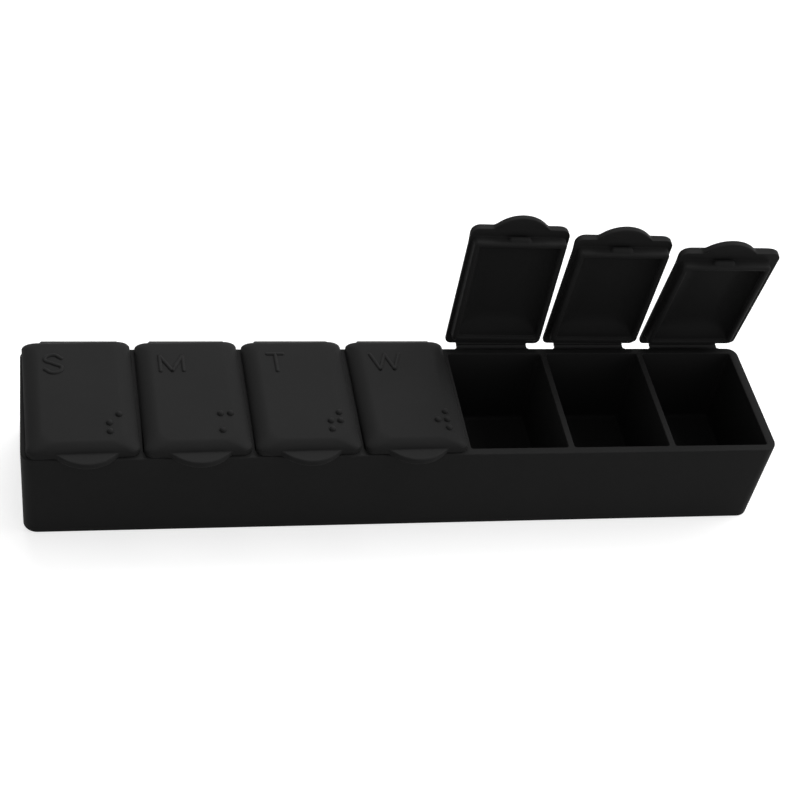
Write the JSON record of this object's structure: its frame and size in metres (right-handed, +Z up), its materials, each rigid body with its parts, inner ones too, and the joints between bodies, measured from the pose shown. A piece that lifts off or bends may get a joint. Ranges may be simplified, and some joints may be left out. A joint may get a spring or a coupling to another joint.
{
  "type": "weekly pill organizer",
  "caption": "Long moulded pill box with a row of day compartments, each under its own pillow-shaped snap lid with a finger tab on a thin moulded hinge.",
  "frame": {"origin": "centre of the tray's flat underside", "axes": "+X along the row from Sunday's compartment to Saturday's, +Y from the finger tabs to the hinges, +Z up"},
  "size_m": [0.17, 0.0413, 0.0613],
  "materials": {
    "polypropylene": "fine satin moulding texture"
  },
  "bodies": {
    "tray": {"tray": "polypropylene", "hinge_web_sunday": "polypropylene", "hinge_web_monday": "polypropylene", "hinge_web_tuesday": "polypropylene", "hinge_web_wednesday": "polypropylene", "hinge_web_thursday": "polypropylene", "hinge_web_friday": "polypropylene", "hinge_web_saturday": "polypropylene"},
    "sunday_lid": {"lid_sunday": "polypropylene"},
    "monday_lid": {"lid_monday": "polypropylene"},
    "tuesday_lid": {"lid_tuesday": "polypropylene"},
    "wednesday_lid": {"lid_wednesday": "polypropylene"},
    "thursday_lid": {"lid_thursday": "polypropylene"},
    "friday_lid": {"lid_friday": "polypropylene"},
    "saturday_lid": {"lid_saturday": "polypropylene"}
  },
  "joints": [
    {"name": "sunday_hinge", "type": "hinge", "parent": "tray", "child": "sunday_lid", "pos_m": [-0.072, 0.0185, 0.02285], "axis": [-1, 0, 0], "range_deg": [0, 180], "deforming": ["hinge_web_sunday"]},
    {"name": "monday_hinge", "type": "hinge", "parent": "tray", "child": "monday_lid", "pos_m": [-0.048, 0.0185, 0.02285], "axis": [-1, 0, 0], "range_deg": [0, 180], "deforming": ["hinge_web_monday"]},
    {"name": "tuesday_hinge", "type": "hinge", "parent": "tray", "child": "tuesday_lid", "pos_m": [-0.024, 0.0185, 0.02285], "axis": [-1, 0, 0], "range_deg": [0, 180], "deforming": ["hinge_web_tuesday"]},
    {"name": "wednesday_hinge", "type": "hinge", "parent": "tray", "child": "wednesday_lid", "pos_m": [0, 0.0185, 0.02285], "axis": [-1, 0, 0], "range_deg": [0, 180], "deforming": ["hinge_web_wednesday"]},
    {"name": "thursday_hinge", "type": "hinge", "parent": "tray", "child": "thursday_lid", "pos_m": [0.024, 0.0185, 0.02285], "axis": [-1, 0, 0], "range_deg": [-89, 91], "deforming": ["hinge_web_thursday"]},
    {"name": "friday_hinge", "type": "hinge", "parent": "tray", "child": "friday_lid", "pos_m": [0.048, 0.0185, 0.02285], "axis": [-1, 0, 0], "range_deg": [-84, 96], "deforming": ["hinge_web_friday"]},
    {"name": "saturday_hinge", "type": "hinge", "parent": "tray", "child": "saturday_lid", "pos_m": [0.072, 0.0185, 0.02285], "axis": [-1, 0, 0], "range_deg": [-78, 102], "deforming": ["hinge_web_saturday"]}
  ]
}
